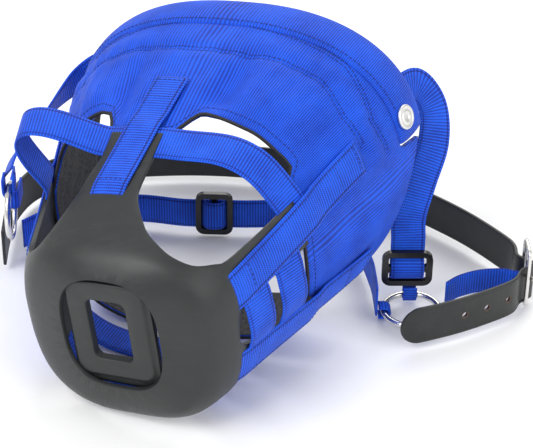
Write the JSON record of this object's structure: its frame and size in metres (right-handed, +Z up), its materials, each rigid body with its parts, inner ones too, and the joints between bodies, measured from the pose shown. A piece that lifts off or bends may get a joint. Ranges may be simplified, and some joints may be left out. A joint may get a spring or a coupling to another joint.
{
  "type": "basket muzzle",
  "caption": "Grazing muzzle: rubber feed dish, padded nylon shell, webbing lattice, and a laid-out headstall with slides, rings, a buckle and a holed crown strap.",
  "frame": {"origin": "centre of the bounding box at floor level, under the muzzle as it lies on its chin side", "axes": "+Z up from the floor, +X to the buckle's side along the laid-out crown strap, +Y from the feed window's side towards the nose opening's side"},
  "size_m": [0.3952, 0.331, 0.2142],
  "materials": {
    "black_rubber": "satin",
    "blue_nylon": "matte",
    "blue_webbing": "matte",
    "black_leather": "satin",
    "black_slide": "gloss",
    "nickel": "polished"
  },
  "bodies": {
    "basket": {"strap_nose": "blue_webbing", "strap_cheek_right": "blue_webbing", "strap_cheek_left": "blue_webbing", "strap_jaw_right": "blue_webbing", "strap_jaw_left": "blue_webbing", "upper_band_nose_right": "blue_webbing", "upper_band_nose_left": "blue_webbing", "upper_band_jaw": "blue_webbing", "lower_band": "blue_webbing", "cheek_strap_right": "blue_webbing", "cheek_strap_left": "blue_webbing", "ring_loop_right": "blue_webbing", "ring_loop_left": "blue_webbing", "ring_loop_throat": "blue_webbing", "throat_strap": "blue_webbing", "chape": "blue_webbing", "base_dish": "black_rubber", "shell": "blue_nylon", "nose_band": "blue_nylon", "rivet_right": "nickel", "rivet_left": "nickel", "crown_strap": "black_leather", "crown_loop": "black_leather"},
    "ring_right": {"ring_right": "nickel"},
    "ring_left": {"ring_left": "nickel"},
    "slide_right": {"slide_right": "black_slide", "slide_bight_right": "blue_webbing"},
    "slide_throat": {"slide_throat": "black_slide", "slide_bight_throat": "blue_webbing"},
    "buckle": {"buckle_frame": "nickel"},
    "tongue": {"buckle_tongue": "nickel"}
  },
  "joints": [
    {"name": "ring_right_turn", "type": "hinge", "parent": "basket", "child": "ring_right", "pos_m": [0.10712, -0.02802, 0.00739], "axis": [0, 0, 1], "range_deg": [-180, 180]},
    {"name": "ring_left_turn", "type": "hinge", "parent": "basket", "child": "ring_left", "pos_m": [-0.18988, 0.04448, 0.04739], "axis": [1, 0, 0], "range_deg": [-180, 180]},
    {"name": "slide_right_travel", "type": "slide", "parent": "basket", "child": "slide_right", "axis": [0, 0, 1], "range_m": [0, 0.006]},
    {"name": "slide_throat_travel", "type": "slide", "parent": "basket", "child": "slide_throat", "axis": [-0.9988, 0.0499, 0], "range_m": [-0.012, 0.012]},
    {"name": "buckle_rock", "type": "hinge", "parent": "basket", "child": "buckle", "pos_m": [0.19112, -0.00752, 0.02679], "axis": [0, 0, 1], "range_deg": [-1.5, 1.5]},
    {"name": "tongue_swing", "type": "hinge", "parent": "buckle", "child": "tongue", "pos_m": [0.19112, -0.00752, 0.02679], "axis": [0, 0, 1], "range_deg": [0, 14]}
  ]
}
